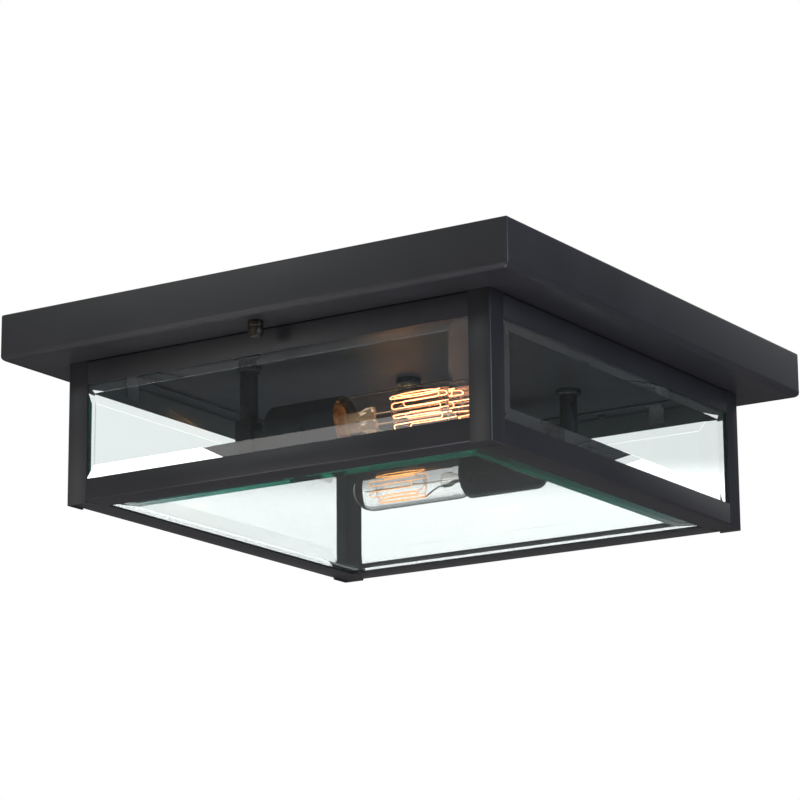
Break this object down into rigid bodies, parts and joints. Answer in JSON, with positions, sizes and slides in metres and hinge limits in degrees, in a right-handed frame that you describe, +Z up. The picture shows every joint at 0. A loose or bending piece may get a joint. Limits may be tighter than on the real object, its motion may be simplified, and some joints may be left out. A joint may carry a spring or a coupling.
{
  "type": "flush-mount ceiling lantern",
  "caption": "Square flush-mount porch ceiling lantern: a shallow pan over a metal cage with bevelled glass panes, and tubular lamps lying in horizontal sockets.",
  "frame": {"origin": "centre of the mounting bar's two box-screw slots, on the ceiling plane, where the pan's rim also rests", "axes": "+Z up into the ceiling, so the lantern hangs down; +Y along the mounting bar from the front cap nut to the rear one; +X to the right, along the lamps"},
  "size_m": [0.4064, 0.4064, 0.1323],
  "materials": {
    "black_paint": "satin near-black powder coat, faint blue in the light",
    "dark_bronze": "dark oil-rubbed bronze plating, satin",
    "zinc_steel": "bright zinc plate, slightly mottled",
    "yellow_zinc": "yellow zinc plate on threaded rod",
    "brass": "thin pressed brass, semi-bright",
    "pane_glass": "clear float glass with polished bevels, green in the thickness",
    "lamp_glass": "thin clear blown glass",
    "lamp_foot": "drawn clear glass with fine nickel wires",
    "glowing_filament": "glowing amber wire",
    "porcelain": "glazed off-white porcelain",
    "fibre_sleeve": "dark waxed fibre paper",
    "black_insulation": "satin black wire insulation",
    "white_insulation": "satin white wire insulation",
    "green_insulation": "satin green wire insulation",
    "green_screw": "green lacquered steel screw",
    "wire_connector": "moulded orange nylon"
  },
  "bodies": {
    "pan": {"canopy_pan": "black_paint", "mounting_bar": "zinc_steel", "mounting_studs": "yellow_zinc", "bar_nuts": "zinc_steel", "centre_nipple": "yellow_zinc", "centre_nut": "black_paint", "cage_nuts": "zinc_steel", "stem_nuts": "zinc_steel", "stem_nipples": "yellow_zinc", "stem_a": "black_paint", "stem_b": "black_paint", "collar_a": "black_paint", "collar_b": "black_paint", "elbow_a": "black_paint", "elbow_b": "black_paint", "socket_cup_a": "black_paint", "socket_cup_b": "black_paint", "socket_base_a": "porcelain", "socket_base_b": "porcelain", "socket_sleeve_a": "fibre_sleeve", "socket_sleeve_b": "fibre_sleeve", "screw_shell_a": "brass", "screw_shell_b": "brass", "centre_contacts": "brass", "lead_wires_black": "black_insulation", "lead_wires_white": "white_insulation", "wire_connectors": "wire_connector", "ground_wire": "green_insulation", "ground_screws": "green_screw"},
    "cage": {"post_front_right": "black_paint", "post_rear_right": "black_paint", "post_rear_left": "black_paint", "post_front_left": "black_paint", "top_rail_front": "black_paint", "top_rail_right": "black_paint", "top_rail_rear": "black_paint", "top_rail_left": "black_paint", "bottom_rail_front": "black_paint", "bottom_rail_right": "black_paint", "bottom_rail_rear": "black_paint", "bottom_rail_left": "black_paint", "side_pane_front": "pane_glass", "side_pane_right": "pane_glass", "side_pane_rear": "pane_glass", "side_pane_left": "pane_glass", "bottom_pane": "pane_glass", "glass_clips": "zinc_steel", "cage_studs": "zinc_steel"},
    "lamp_a": {"lamp_glass_a": "lamp_glass", "lamp_cap_a": "brass", "lamp_mount_a": "lamp_foot", "filament_a": "glowing_filament"},
    "lamp_b": {"lamp_glass_b": "lamp_glass", "lamp_cap_b": "brass", "lamp_mount_b": "lamp_foot", "filament_b": "glowing_filament"},
    "cap_nut_front": {"cap_nut_front": "dark_bronze"},
    "cap_nut_rear": {"cap_nut_rear": "dark_bronze"}
  },
  "joints": [
    {"name": "cage_drop", "type": "slide", "parent": "pan", "child": "cage", "axis": [0, 0, -1], "range_m": [0, 0.12]},
    {"name": "lamp_a_out", "type": "slide", "parent": "pan", "child": "lamp_a", "axis": [1, 0, 0], "range_m": [0, 0.05]},
    {"name": "lamp_b_out", "type": "slide", "parent": "pan", "child": "lamp_b", "axis": [-1, 0, 0], "range_m": [0, 0.05]},
    {"name": "cap_nut_front_off", "type": "slide", "parent": "pan", "child": "cap_nut_front", "axis": [0, 0, -1], "range_m": [0, 0.015]},
    {"name": "cap_nut_rear_off", "type": "slide", "parent": "pan", "child": "cap_nut_rear", "axis": [0, 0, -1], "range_m": [0, 0.015]}
  ]
}
